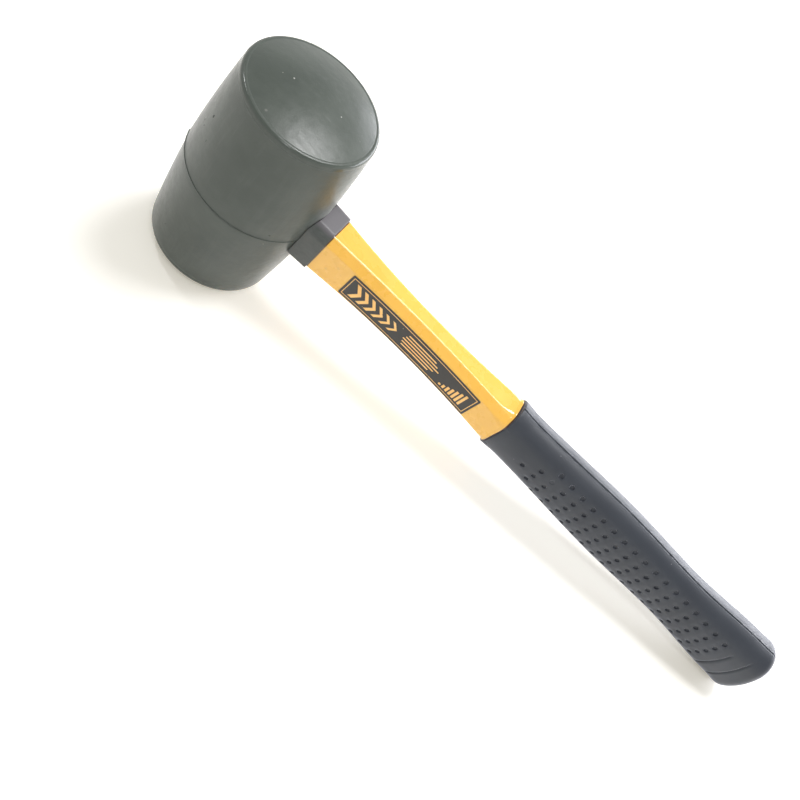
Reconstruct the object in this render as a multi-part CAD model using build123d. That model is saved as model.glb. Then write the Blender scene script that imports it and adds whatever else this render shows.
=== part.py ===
from build123d import *
import os
from math import cos, degrees, hypot, radians, sin

# Rubber mallet with a fibreglass-cored handle, resting on one face of its head and on its butt.
# It is drawn in a bench frame: Z is the head's axis, +X runs along the handle from the head's
# centre. At the end every piece is leaned onto the floor, with the origin under the middle.
# All sizes are in millimetres.

# Head: one rubber moulding, a barrel that tapers from its middle to two crowned faces.
HEAD_RADIUS = 30.0
RIM_INSET = 2.9
RIM_RADIUS = HEAD_RADIUS - RIM_INSET
RIM_HEIGHT = 44.5
CROWN_HEIGHT = 4.5
SIDE_BULGE = 0.4
RIM_ROUNDING = 3.0
# The upper mould half stands proud of the lower one, over a fine groove.
PARTING_STEP = 0.4
PARTING_GROOVE_DEPTH = 0.35
PARTING_GROOVE_HEIGHT = 0.7

# Handle: where it ends and where the grip sleeve starts, both behind the head's axis.
HANDLE_REACH = 302.3
SLEEVE_LENGTH = 164.1
SLEEVE_START = HANDLE_REACH - SLEEVE_LENGTH

# Neck: octagonal, from its shoulder at the head to its throat at the sleeve, with a waist halfway.
SHOULDER_RUN = 8.0
SHOULDER_X = HEAD_RADIUS + SHOULDER_RUN
SHOULDER_HALF_WIDTH = 9.15
SHOULDER_HALF_HEIGHT = 11.1
WAIST_X = (SHOULDER_X + SLEEVE_START) / 2
WAIST_HALF_WIDTH = 6.8
WAIST_HALF_HEIGHT = 10.2
THROAT_HALF_WIDTH = 9.3
THROAT_HALF_HEIGHT = 10.5
NECK_CHAMFER = 3.3
NECK_EDGE_ROUNDING = 0.7

# Tongue: the end of the jacket that passes through the head's eye, tapering to the far side.
TONGUE_ROOT_HALF_WIDTH = 7.4
TONGUE_ROOT_HALF_HEIGHT = 9.6
TONGUE_TIP_HALF_WIDTH = 6.6
TONGUE_TIP_HALF_HEIGHT = 8.6
TONGUE_CORNER = 3.0
TONGUE_RECESS = 1.8

# Resin poured into the eye's flared mouth, which locks the tongue.
FLARE_WIDTH = 2.4
FLARE_DEPTH = 5.0
FLARE_RUN_OUT = 1.0
RESIN_MENISCUS = 0.5

# Fibreglass rod inside the jacket.
CORE_RADIUS = 4.5
CORE_END_COVER = 12.0

# Rubber collar between the head and the yellow jacket.
COLLAR_LENGTH = 6.8
COLLAR_WALL = 1.05
COLLAR_TAPER = 0.25
COLLAR_CHAMFER = 3.9
COLLAR_EDGE = 0.3
COLLAR_CREASE = 0.25

# Grip sleeve: lip, throat, palm swell, finger waist, bulb and flared end, as distances behind the lip.
LIP_HALF_WIDTH = 10.6
LIP_HALF_HEIGHT = 13.9
NARROW_AT = 8.0
NARROW_HALF_WIDTH = 10.1
NARROW_HALF_HEIGHT = 13.4
SWELL_AT = 69.0
SWELL_HALF_WIDTH = 10.6
SWELL_HALF_HEIGHT = 15.6
FINGER_AT = 109.0
FINGER_HALF_WIDTH = 10.3
FINGER_HALF_HEIGHT = 14.7
BULB_AT = 152.0
BULB_HALF_WIDTH = 11.5
BULB_HALF_HEIGHT = 17.1
END_HALF_WIDTH = 12.3
END_HALF_HEIGHT = 17.8
OVAL_FULLNESS = 0.93
STATION_PITCH = 9.0

# Butt: a crowned face that looks slightly upwards, with a rounded rim.
BUTT_CROWN_RADIUS = 150.0
BUTT_FACE_TILT = 4.6
BUTT_RIM_RADIUS = 5.5
BUTT_WALL = 8.0

# Shank: the jacket under the sleeve.
LIP_OVERLAP = 2.0
SHANK_SIDE_COVER = 2.1
SHANK_TOP_COVER = 2.4
SHANK_CHAMFER = 5.2
SHANK_END_BEVEL = 2.0

# Sleeve detail: cross grooves and the raised line where the mould halves met.
GROOVE_START = 144.1
GROOVE_PITCH = 7.9
GROOVE_WIDTH = 0.9
GROOVE_DEPTH = 0.5
GROOVE_LENGTH = 21.0
GROOVE_DROP = 1.5
SEAM_HEIGHT = 0.3
SEAM_WIDTH = 0.7

# Label: a thin foil on one side of the neck, centred on the waist.
LABEL_LENGTH = 71.2
LABEL_HALF_HEIGHT = 6.6
LABEL_THICKNESS = 0.15

# Times that the resting tilt is refined.
LEAN_ROUNDS = 5

# Bond line left between pieces that are moulded or glued onto each other.
BOND_GAP = 0.1
LABEL_GLUE = 0.02


def across(x):
    """Plane square to the handle at distance x from the head's axis: sketch X is Y, sketch Y is Z."""
    return Plane.YZ.offset(x)


def octagon(half_width, half_height, corner, rounding):
    outline = Rectangle(2 * half_width, 2 * half_height)
    outline = chamfer(outline.vertices(), corner)
    return fillet(outline.vertices(), rounding)


def oval_radii(half_width, half_height):
    """Radii of an oval's full round ends and of its flatter sides."""
    end = OVAL_FULLNESS * half_width
    side = (half_width**2 + half_height**2 - 2 * half_height * end) / (2 * (half_width - end))
    return end, side


def oval(half_width, half_height):
    """Four tangent arcs: flat sides and full round ends."""
    end, side = oval_radii(half_width, half_height)
    span = hypot(side - half_width, half_height - end)
    y = (half_width - side) + side * (side - half_width) / span
    z = side * (half_height - end) / span
    arcs = [
        ThreePointArc((y, -z), (half_width, 0), (y, z)),
        ThreePointArc((y, z), (0, half_height), (-y, z)),
        ThreePointArc((-y, z), (-half_width, 0), (-y, -z)),
        ThreePointArc((-y, -z), (0, -half_height), (y, -z)),
    ]
    return make_face(arcs)


# --- head ---------------------------------------------------------------------------------


def head_blank(grow=0.0):
    """The barrel before its eye is made, with every surface moved out by grow."""
    rim, rim_z = RIM_RADIUS + grow, RIM_HEIGHT + grow
    apex = RIM_HEIGHT + CROWN_HEIGHT + grow
    upper, lower = HEAD_RADIUS + grow, HEAD_RADIUS - PARTING_STEP + grow
    floor = lower - PARTING_GROOVE_DEPTH
    outline = [
        Line((0, -apex), (0, apex)),
        RadiusArc((0, apex), (rim, rim_z), crown_radius() + grow),
        bulged_side(rim, rim_z, upper, 0),
        Line((upper, 0), (floor, 0)),
        Line((floor, 0), (floor, -PARTING_GROOVE_HEIGHT)),
        Line((floor, -PARTING_GROOVE_HEIGHT), (lower, -PARTING_GROOVE_HEIGHT)),
        bulged_side(lower, -PARTING_GROOVE_HEIGHT, rim, -rim_z),
        RadiusArc((rim, -rim_z), (0, -apex), crown_radius() + grow),
    ]
    profile = make_face(outline)
    rims = profile.vertices().filter_by(lambda v: v.X > 1 and abs(v.Y) > RIM_HEIGHT / 2)
    profile = fillet(rims, RIM_ROUNDING)
    return revolve(Plane.XZ * profile, Axis.Z)


def crown_radius():
    return (RIM_RADIUS**2 + CROWN_HEIGHT**2) / (2 * CROWN_HEIGHT)


def bulged_side(r1, z1, r2, z2):
    middle = ((r1 + r2) / 2 + SIDE_BULGE, (z1 + z2) / 2)
    return ThreePointArc((r1, z1), middle, (r2, z2))


def tongue(grow=0.0):
    """Tapered bar through the head, from its far side to under the collar."""
    tip, root = -HEAD_RADIUS + TONGUE_RECESS, HEAD_RADIUS + COLLAR_LENGTH / 2
    sections = [
        across(tip) * tongue_section(TONGUE_TIP_HALF_WIDTH, TONGUE_TIP_HALF_HEIGHT, grow),
        across(root) * tongue_section(TONGUE_ROOT_HALF_WIDTH, TONGUE_ROOT_HALF_HEIGHT, grow),
    ]
    return loft(sections)


def tongue_section(half_width, half_height, grow):
    return RectangleRounded(2 * (half_width + grow), 2 * (half_height + grow), TONGUE_CORNER + grow)


def eye_flare(grow=0.0):
    """Funnel that the eye opens into on the far side, carried on past the head's surface."""
    inner = -HEAD_RADIUS + TONGUE_RECESS + FLARE_DEPTH
    outer = -HEAD_RADIUS - FLARE_RUN_OUT
    widening = FLARE_WIDTH * (inner - outer) / FLARE_DEPTH
    sections = []
    for x, spread in ((inner, 0.0), (outer, widening)):
        spread += BOND_GAP + grow
        outline = tongue_section(TONGUE_TIP_HALF_WIDTH, TONGUE_TIP_HALF_HEIGHT, spread)
        sections.append(across(x) * outline)
    return loft(sections)


def eye():
    """Opening through the head: the tongue's taper with its bond gap, and the flare."""
    return tongue(BOND_GAP) + eye_flare()


def rubber_head():
    return head_blank() - eye()


def eye_resin():
    """Ring of resin between the flare and the tongue, filled to just below the tongue's end."""
    face_x = -HEAD_RADIUS + TONGUE_RECESS + RESIN_MENISCUS
    poured = eye_flare(-BOND_GAP) - tongue(BOND_GAP)
    return split(poured, Plane.YZ.offset(face_x), keep=Keep.TOP)


# --- handle -------------------------------------------------------------------------------


def neck_size(x):
    """Half width and half height of the neck, which draws in to its waist as a parabola."""
    if x < WAIST_X:
        reach = (WAIST_X - x) / (WAIST_X - SHOULDER_X)
        widest, tallest = SHOULDER_HALF_WIDTH, SHOULDER_HALF_HEIGHT
    else:
        reach = (x - WAIST_X) / (SLEEVE_START - WAIST_X)
        widest, tallest = THROAT_HALF_WIDTH, THROAT_HALF_HEIGHT
    share = min(reach, 1.0) ** 2
    half_width = WAIST_HALF_WIDTH + (widest - WAIST_HALF_WIDTH) * share
    half_height = WAIST_HALF_HEIGHT + (tallest - WAIST_HALF_HEIGHT) * share
    return half_width, half_height


def neck(grow=0.0):
    """Octagonal neck from inside the head's outline to just under the sleeve's lip."""
    start, end = HEAD_RADIUS - COLLAR_LENGTH, SLEEVE_START + LIP_OVERLAP
    steps = round((end - start) / STATION_PITCH)
    sections = []
    for i in range(steps + 1):
        x = start + (end - start) * i / steps
        half_width, half_height = neck_size(x)
        outline = octagon(half_width + grow, half_height + grow, NECK_CHAMFER, NECK_EDGE_ROUNDING)
        sections.append(across(x) * outline)
    return loft(sections)


def shank_end():
    return HANDLE_REACH - BUTT_WALL


def shank_outline(x, grow):
    half_width, half_height = sleeve_size(x)
    half_width += grow - SHANK_SIDE_COVER
    half_height += grow - SHANK_TOP_COVER
    return octagon(half_width, half_height, SHANK_CHAMFER, NECK_EDGE_ROUNDING)


def shank(grow=0.0):
    """Jacket inside the sleeve, which it follows at a constant cover, with a bevelled end."""
    start, end = SLEEVE_START + LIP_OVERLAP, shank_end() + grow
    bevel_start = end - SHANK_END_BEVEL
    steps = round((bevel_start - start) / STATION_PITCH)
    stations = [start + (bevel_start - start) * i / steps for i in range(steps + 1)]
    body = loft([across(x) * shank_outline(x, grow) for x in stations])
    bevel = [
        across(bevel_start) * shank_outline(bevel_start, grow),
        across(end) * shank_outline(bevel_start, grow - SHANK_END_BEVEL),
    ]
    return body + loft(bevel, ruled=True)


def core_space(grow=0.0):
    start, end = -HEAD_RADIUS + TONGUE_RECESS, shank_end() - CORE_END_COVER
    return extrude(across(start) * Circle(CORE_RADIUS + grow), end - start + grow)


def handle_jacket():
    body = neck() - head_blank(BOND_GAP)
    body = body + tongue() + shank()
    return body - core_space(BOND_GAP)


def fibreglass_core():
    return core_space()


def neck_collar():
    """Octagonal rubber band round the neck, cut to the head's curve with a fine crease."""
    inner, outer = HEAD_RADIUS - COLLAR_LENGTH, HEAD_RADIUS + COLLAR_LENGTH
    sections = []
    for x, taper in ((inner, COLLAR_TAPER), (outer, 0.0)):
        half_width, half_height = neck_size(outer)
        cover = COLLAR_WALL + taper
        outline = octagon(half_width + cover, half_height + cover, COLLAR_CHAMFER, NECK_EDGE_ROUNDING)
        sections.append(across(x) * outline)
    band = loft(sections, ruled=True)
    band = fillet(band.faces().sort_by(Axis.X)[-1].edges(), COLLAR_EDGE)
    return band - neck(BOND_GAP) - head_blank(COLLAR_CREASE)


# --- grip sleeve --------------------------------------------------------------------------


def sleeve_size(x):
    """Half width and half height of the sleeve, eased from each named section to the next."""
    stations = (
        (0.0, LIP_HALF_WIDTH, LIP_HALF_HEIGHT),
        (NARROW_AT, NARROW_HALF_WIDTH, NARROW_HALF_HEIGHT),
        (SWELL_AT, SWELL_HALF_WIDTH, SWELL_HALF_HEIGHT),
        (FINGER_AT, FINGER_HALF_WIDTH, FINGER_HALF_HEIGHT),
        (BULB_AT, BULB_HALF_WIDTH, BULB_HALF_HEIGHT),
        (SLEEVE_LENGTH, END_HALF_WIDTH, END_HALF_HEIGHT),
    )
    behind = max(x - SLEEVE_START, 0.0)
    for (x1, w1, h1), (x2, w2, h2) in zip(stations, stations[1:]):
        if behind <= x2:
            share = (behind - x1) / (x2 - x1)
            eased = share * share * (3 - 2 * share)
            return w1 + (w2 - w1) * eased, h1 + (h2 - h1) * eased
    return END_HALF_WIDTH, END_HALF_HEIGHT


def butt_ball(grow):
    """Ball whose surface is the crowned face of the butt."""
    radius = BUTT_CROWN_RADIUS + grow
    tilt = radians(BUTT_FACE_TILT)
    centre_x = HANDLE_REACH - BUTT_CROWN_RADIUS * cos(tilt)
    return Pos(centre_x, 0, -BUTT_CROWN_RADIUS * sin(tilt)) * Sphere(radius)


def sleeve_body(grow=0.0):
    """The sleeve's outer form as a solid, with its surface moved out by grow."""
    stations = [SLEEVE_START, SLEEVE_START + NARROW_AT / 2, SLEEVE_START + NARROW_AT]
    end = HANDLE_REACH + STATION_PITCH
    steps = round((end - stations[-1]) / STATION_PITCH)
    step = (end - stations[-1]) / steps
    stations += [stations[-1] + step * (i + 1) for i in range(steps)]
    sections = []
    for x in stations:
        half_width, half_height = sleeve_size(x)
        sections.append(across(x) * oval(half_width + grow, half_height + grow))
    body = loft(sections) & butt_ball(grow)
    rim = body.edges().filter_by(lambda e: e.center().X > HANDLE_REACH - STATION_PITCH)
    return fillet(rim, BUTT_RIM_RADIUS + grow)


def groove_cutters():
    """Two upright slots behind the dimples on each side, sunk to an even depth."""
    slots = Sketch()
    for i in range(2):
        x = SLEEVE_START + GROOVE_START + i * GROOVE_PITCH
        slots += Pos(x, -GROOVE_DROP) * Rot(0, 0, 90) * SlotOverall(GROOVE_LENGTH, GROOVE_WIDTH)
    slabs = extrude(Plane.XZ * slots, 2 * BULB_HALF_WIDTH, both=True)
    return slabs & (sleeve_body(GROOVE_WIDTH) - sleeve_body(-GROOVE_DEPTH))


def seam_line():
    """Fine raised line along the top and the foot of the sleeve."""
    length = HANDLE_REACH - SLEEVE_START
    slab = Pos(SLEEVE_START + length / 2, 0, 0) * Box(length, SEAM_WIDTH, 4 * BULB_HALF_HEIGHT)
    return sleeve_body(SEAM_HEIGHT) & slab


def grip_sleeve():
    sleeve = sleeve_body() + seam_line() - groove_cutters()
    return sleeve - neck(BOND_GAP) - shank(BOND_GAP)


def side_label():
    middle = Pos(WAIST_X, -SHOULDER_HALF_WIDTH, 0)
    window = middle * Box(LABEL_LENGTH, SHOULDER_HALF_WIDTH, 2 * LABEL_HALF_HEIGHT)
    return (neck(LABEL_GLUE + LABEL_THICKNESS) - neck(LABEL_GLUE)) & window


# --- resting on the floor -----------------------------------------------------------------


def lean_angle():
    """Tilt at which a floor touches the lower crown and the mould line at the butt's foot."""
    ball_z = crown_radius() - RIM_HEIGHT - CROWN_HEIGHT
    foot_line = seam_line()
    lean = 0.0
    for _ in range(LEAN_ROUNDS):
        foot = (Rot(0, degrees(lean), 0) * foot_line).bounding_box().min.Z
        floor = ball_z * cos(lean) - crown_radius()
        lean += (foot - floor) / HANDLE_REACH
    return degrees(lean)


pieces = {
    "rubber_head": rubber_head(),
    "neck_collar": neck_collar(),
    "handle_jacket": handle_jacket(),
    "fibreglass_core": fibreglass_core(),
    "eye_resin": eye_resin(),
    "grip_sleeve": grip_sleeve(),
    "side_label": side_label(),
}

lean = lean_angle()
leaned = {name: Rot(0, lean, 0) * piece for name, piece in pieces.items()}
box = Compound(list(leaned.values())).bounding_box()
shift = Pos(-box.center().X, 0, -box.min.Z)
print(f"lean {lean:.4f} degrees, moved by {shift.position}, size {box.size}")

os.makedirs("parts", exist_ok=True)
for name, piece in leaned.items():
    export_step(shift * piece, f"parts/{name}.step")
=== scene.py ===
from math import acos, asin, atan2, cos, hypot, pi, radians, sin, sqrt, tan

import bmesh
import bpy
from mathutils import Matrix, Vector, noise


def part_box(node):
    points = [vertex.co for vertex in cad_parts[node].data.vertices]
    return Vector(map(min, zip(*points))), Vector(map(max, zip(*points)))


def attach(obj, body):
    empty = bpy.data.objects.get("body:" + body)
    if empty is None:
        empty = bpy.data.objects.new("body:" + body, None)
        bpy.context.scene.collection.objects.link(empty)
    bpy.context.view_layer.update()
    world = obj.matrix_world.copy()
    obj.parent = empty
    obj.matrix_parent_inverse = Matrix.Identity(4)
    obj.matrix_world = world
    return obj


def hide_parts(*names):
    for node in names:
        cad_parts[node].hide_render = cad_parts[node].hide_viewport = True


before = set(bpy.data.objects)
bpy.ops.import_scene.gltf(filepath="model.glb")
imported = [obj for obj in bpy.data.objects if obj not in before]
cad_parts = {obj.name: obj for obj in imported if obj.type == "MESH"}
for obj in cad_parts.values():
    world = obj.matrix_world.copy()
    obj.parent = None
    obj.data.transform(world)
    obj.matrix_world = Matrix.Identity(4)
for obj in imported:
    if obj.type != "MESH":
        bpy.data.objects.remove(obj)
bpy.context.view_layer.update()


# Fibreglass rod: the handle's pultruded core, moulded into the jacket. Only its sawn end shows, in
# the far mouth of the head's eye. Its box tells how the mallet leans, so the other pieces, drawn in
# millimetres with X along the handle and Z along the head, are set down along it.

MM_PER_M = 1000.0
ROD_RADIUS = 4.5
ROD_START = -28.2
LEAN = radians(6.103)
ROD_RESIN = ((0.56, 0.50, 0.30), (0.72, 0.68, 0.50))
ROD_GLASS = (0.88, 0.87, 0.78)

rod_low, rod_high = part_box("fibreglass_core")
rod_end = Vector((rod_low.x + ROD_RADIUS * sin(LEAN) / MM_PER_M, 0,
                  rod_high.z - ROD_RADIUS * cos(LEAN) / MM_PER_M))
along_handle = Vector((cos(LEAN), 0, -sin(LEAN)))
head_centre = rod_end - along_handle * ROD_START / MM_PER_M
LAID_DOWN = Matrix.Translation(head_centre) @ Matrix.Rotation(LEAN, 4, "Y") @ Matrix.Scale(1 / MM_PER_M, 4)


def fill(made, **inputs):
    """Sets a node's inputs by name, or by number as i0, i1: a socket is linked, a value is set."""
    for name, value in inputs.items():
        key = int(name[1:]) if name[0] == "i" and name[1:].isdigit() else name.replace("_", " ")
        if isinstance(value, bpy.types.NodeSocket):
            made.id_data.links.new(value, made.inputs[key])
        else:
            made.inputs[key].default_value = value


def node(tree, kind, settings=None, **inputs):
    """Adds a shader node with its settings and inputs."""
    made = tree.nodes.new(kind)
    for name, value in (settings or {}).items():
        setattr(made, name, value)
    fill(made, **inputs)
    return made


def maths(tree, operation, *values, **settings):
    """What a Math node makes of values and sockets."""
    inputs = {f"i{i}": value for i, value in enumerate(values)}
    return node(tree, "ShaderNodeMath", {"operation": operation, **settings}, **inputs).outputs[0]


def ranged(tree, amount, low, high, start=0.0, stop=1.0, **settings):
    """A value that runs from low to high as amount runs from start to stop."""
    return node(tree, "ShaderNodeMapRange", settings, Value=amount, From_Min=start, From_Max=stop,
                To_Min=low, To_Max=high).outputs[0]


def between(tree, share, first, second):
    """A value that runs from first to second as share runs from 0 to 1."""
    return node(tree, "ShaderNodeMix", {"data_type": "FLOAT"}, Factor=share, A=first, B=second).outputs[0]


def here(tree):
    """The place on the object, in metres."""
    return node(tree, "ShaderNodeTexCoord").outputs["Object"]


def scale_of(tree, size):
    """The scale that gives a pattern a size in millimetres."""
    return maths(tree, "DIVIDE", MM_PER_M, size)


def noisy(tree, place, scale, **look):
    return node(tree, "ShaderNodeTexNoise", Vector=place, Scale=scale, **look).outputs["Fac"]


def group(name, build, **inputs):
    """A node group with named inputs, from which build makes what it puts out."""
    tree = bpy.data.node_groups.new(name, "ShaderNodeTree")
    for label, value in inputs.items():
        kind = "NodeSocketVector" if isinstance(value, tuple) else "NodeSocketFloat"
        socket = tree.interface.new_socket(label.replace("_", " "), in_out="INPUT", socket_type=kind)
        socket.default_value = value
    tree.interface.new_socket("Amount", in_out="OUTPUT", socket_type="NodeSocketFloat")
    given, out = tree.nodes.new("NodeGroupInput"), tree.nodes.new("NodeGroupOutput")
    fill(out, Amount=build(tree, given.outputs))
    return tree


def mottle_nodes(tree, given):
    """Slow cloudy variation, from 0 to 1, over a surface: patch size in millimetres and contrast."""
    cloud = noisy(tree, here(tree), scale_of(tree, given["Size"]), Detail=4.0, Roughness=0.55)
    centred = maths(tree, "SUBTRACT", cloud, 0.5)
    return maths(tree, "MULTIPLY_ADD", centred, given["Contrast"], 0.5, use_clamp=True)


def speck_nodes(tree, given):
    """Scattered dust specks: 1 on a speck, 0 elsewhere. Spacing and size are in millimetres."""
    cells = node(tree, "ShaderNodeTexVoronoi", Vector=here(tree), Scale=scale_of(tree, given["Spacing"]))
    reach = maths(tree, "DIVIDE", given["Size"], given["Spacing"])
    near = maths(tree, "LESS_THAN", cells.outputs["Distance"], reach)
    lot = node(tree, "ShaderNodeSeparateColor", Color=cells.outputs["Color"])
    return maths(tree, "MULTIPLY", near, maths(tree, "LESS_THAN", lot.outputs["Red"], given["Share"]))


def grain_nodes(tree, given):
    """Fine moulded grain as a height, with soft ripples under it. Size is in millimetres."""
    fine = noisy(tree, here(tree), scale_of(tree, given["Size"]), Detail=2.0)
    wide = noisy(tree, here(tree), scale_of(tree, given["Ripple"]), Detail=1.0)
    return between(tree, given["Ripple Share"], fine, wide)


MOTTLE = group("mottle", mottle_nodes, Size=20.0, Contrast=1.0)
SPECKS = group("specks", speck_nodes, Spacing=6.0, Size=0.25, Share=0.3)
GRAIN = group("grain", grain_nodes, Size=0.35, Ripple=4.0, Ripple_Share=0.5)


def effect(tree, made, **values):
    """Places a node group with its own values, and gives what it puts out."""
    return node(tree, "ShaderNodeGroup", {"node_tree": made}, **values).outputs[0]


def blend(tree, amount, first, second):
    """A colour that runs from first to second as amount runs from 0 to 1."""
    ends = [end if isinstance(end, bpy.types.NodeSocket) else (*end, 1) for end in (first, second)]
    mixed = node(tree, "ShaderNodeMix", {"data_type": "RGBA"}, Factor=amount, i6=ends[0], i7=ends[1])
    return mixed.outputs[2]


def new_material(name, **shader):
    """A material with a Principled shader, whose plain values are set on its own sockets."""
    material = bpy.data.materials.new(name)
    material.use_nodes = True
    surface = material.node_tree.nodes["Principled BSDF"]
    fill(surface, **shader)
    return material, material.node_tree, surface


def grained(tree, surface, depth, strength=1.0, **grain):
    """Gives a surface its grain, as bumps of a depth in millimetres."""
    bump = node(tree, "ShaderNodeBump", Strength=strength, Distance=depth / MM_PER_M,
                Height=effect(tree, GRAIN, **grain))
    fill(surface, Normal=bump.outputs["Normal"])


def repaint(name, material):
    """Gives a CAD node its finish."""
    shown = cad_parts[name]
    shown.data.materials.clear()
    shown.data.materials.append(material)


def sawn_fibreglass():
    material, tree, surface = new_material("sawn_fibreglass", Roughness=0.6)
    resin = blend(tree, effect(tree, MOTTLE, Size=3.0, Contrast=1.6), *ROD_RESIN)
    fibres = effect(tree, SPECKS, Spacing=0.35, Size=0.2, Share=0.7)
    fill(surface, Base_Color=blend(tree, fibres, resin, ROD_GLASS))
    grained(tree, surface, depth=0.05, Size=0.2, Ripple=1.5)
    return material


repaint("fibreglass_core", sawn_fibreglass())


# Rubber head: one moulding, a barrel tapering to two crowned faces. The mould leaves a fin of flash
# over a groove all round its middle, and the eye for the handle runs through it and opens into a
# flare on the far side. The surface is satin, with a few nicks and specks.

HEAD_RADIUS = 30.0
RIM_RADIUS = 27.1
RIM_HEIGHT = 44.5
CROWN_HEIGHT = 4.5
SIDE_BULGE = 0.4
RIM_ROUNDING = 1.6
RIM_BREAK = radians(32)
RIM_EDGE = 0.25
BARREL_RADIUS = 29.66
HEAD_DIP = 0.07
HEAD_DIP_SPAN = 16
FLASH_CLEAR = 11.7
FLASH_RAGGEDNESS = 0.05
FLASH_TEETH = 14.0
PARTING_STEP = 0.22
PARTING_GROOVE = 0.5
PARTING_WIDTH = 0.75
GROOVE_FLOOR = BARREL_RADIUS - PARTING_STEP - PARTING_GROOVE
PARTING_LINE = [
    (BARREL_RADIUS, 0.55), (BARREL_RADIUS + 0.06, 0.42), (HEAD_RADIUS - 0.08, 0.33), (HEAD_RADIUS, 0.22),
    (HEAD_RADIUS, 0.06), (HEAD_RADIUS - 0.07, -0.02), (BARREL_RADIUS - 0.1, -0.06),
    (GROOVE_FLOOR + 0.12, -0.1), (GROOVE_FLOOR, -0.2), (GROOVE_FLOOR, -0.45),
    (GROOVE_FLOOR + 0.14, -PARTING_WIDTH + 0.12), (GROOVE_FLOOR + PARTING_GROOVE - 0.08, -PARTING_WIDTH)]
HEAD_SEGMENTS = 216
HEAD_SHARP = 50
TONGUE_TIP = (6.6, 8.6)
TONGUE_ROOT = (7.4, 9.6)
TONGUE_CORNER = 3.0
EYE_GAP = 0.1
EYE_FROM = -31.0
EYE_TO = 33.4
FLARE_INNER = -23.2
FLARE_SPREAD = 3.84
NICKS = ((-135.0, 24.8, 0.40, 1.5), (-47.8, 3.4, 0.45, 0.6), (-151.0, -24.9, 0.3, 1.0),
         (-126.3, 17.0, 0.2, 1.6), (-142.5, 18.2, 0.25, 1.1), (-138.6, 17.4, 0.25, 1.0),
         (-118.0, -31.0, 0.25, 0.7), (82.3, -12.0, 0.35, 1.1), (35.9, 20.0, 0.3, 0.8))


def circle_through(a, b, c):
    """Centre and radius of the circle through three points of a plane."""
    ax, ay, bx, by, cx, cy = *a, *b, *c
    d = 2 * (ax * (by - cy) + bx * (cy - ay) + cx * (ay - by))
    aa, bb, cc = ax * ax + ay * ay, bx * bx + by * by, cx * cx + cy * cy
    x = (aa * (by - cy) + bb * (cy - ay) + cc * (ay - by)) / d
    y = (aa * (cx - bx) + bb * (ax - cx) + cc * (bx - ax)) / d
    return (x, y), hypot(ax - x, ay - y)


def arc_between(centre, start, end, steps):
    """Points on an arc about centre from start to end, both included, the short way round."""
    a1 = atan2(start[1] - centre[1], start[0] - centre[0])
    a2 = atan2(end[1] - centre[1], end[0] - centre[0])
    if abs(a2 - a1) > pi:
        a2 += 2 * pi if a2 < a1 else -2 * pi
    radius = hypot(start[0] - centre[0], start[1] - centre[1])
    angles = [a1 + (a2 - a1) * i / steps for i in range(steps + 1)]
    return [(centre[0] + radius * cos(a), centre[1] + radius * sin(a)) for a in angles]


def circles_meet(a, a_radius, b, b_radius):
    """The two points where two circles of a plane cross."""
    span = hypot(b[0] - a[0], b[1] - a[1])
    run = (a_radius**2 - b_radius**2 + span**2) / (2 * span)
    rise = sqrt(a_radius**2 - run**2)
    ux, uy = (b[0] - a[0]) / span, (b[1] - a[1]) / span
    return [(a[0] + ux * run - s * uy * rise, a[1] + uy * run + s * ux * rise) for s in (1, -1)]


def touch(centre, radius, inside):
    """Where a circle about inside, which touches a larger one from within, touches it."""
    reach = hypot(inside[0] - centre[0], inside[1] - centre[1])
    return tuple(c + (i - c) * radius / reach for c, i in zip(centre, inside))


def side_circle(widest):
    """Centre and radius of the barrel's slightly bulging side, in a plane through the axis."""
    halfway = ((RIM_RADIUS + widest) / 2 + SIDE_BULGE, RIM_HEIGHT / 2)
    return circle_through((RIM_RADIUS, RIM_HEIGHT), halfway, (widest, 0.0))


def half_head(widest):
    """Profile (radius, height) of one half, from the crown's middle over the rim to the widest line.
    The rim is a narrow round that runs into the side and meets the crown in a crisp edge."""
    crown_radius = (RIM_RADIUS**2 + CROWN_HEIGHT**2) / (2 * CROWN_HEIGHT)
    crown = (0.0, RIM_HEIGHT + CROWN_HEIGHT - crown_radius)
    side, side_radius = side_circle(widest)
    sunk = crown_radius - RIM_ROUNDING * cos(RIM_BREAK)
    rim = max(circles_meet(crown, sunk, side, side_radius - RIM_ROUNDING), key=lambda p: p[0] + p[1])
    edge = min(circles_meet(crown, crown_radius - RIM_EDGE, rim, RIM_ROUNDING - RIM_EDGE), key=lambda p: p[0])
    on_crown, on_rim = touch(crown, crown_radius, edge), touch(rim, RIM_ROUNDING, edge)
    on_side = touch(side, side_radius, rim)
    arcs = ((crown, (0.0, RIM_HEIGHT + CROWN_HEIGHT), on_crown, 22), (edge, on_crown, on_rim, 4),
            (rim, on_rim, on_side, 9), (side, on_side, (widest, 0.0), 26))
    return [point for arc in arcs for point in arc_between(*arc)[1:]]


def barrel_radius(z):
    """Radius of the head's barrel at height z."""
    middle, radius = side_circle(BARREL_RADIUS if z > 0 else BARREL_RADIUS - PARTING_STEP)
    return middle[0] + sqrt(radius**2 - (abs(z) - middle[1]) ** 2)


def section(x, outline):
    """An outline (y, z) as a ring of points at x."""
    return [(x, y, z) for y, z in outline]


def rounded_bar(half_width, half_height, corner, steps=6):
    """Outline (y, z) of a rectangle with rounded corners."""
    outline = []
    for quarter, (sy, sz) in enumerate(((1, 1), (-1, 1), (-1, -1), (1, -1))):
        for i in range(steps + 1):
            a = pi / 2 * (quarter + i / steps)
            outline.append((sy * (half_width - corner) + corner * cos(a),
                            sz * (half_height - corner) + corner * sin(a)))
    return outline


def eye_ring(x, size, gap):
    """The eye's outline at x: as large as the tongue is there, with a gap all round."""
    return section(x, rounded_bar(size[0] + gap, size[1] + gap, TONGUE_CORNER + gap))


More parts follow.
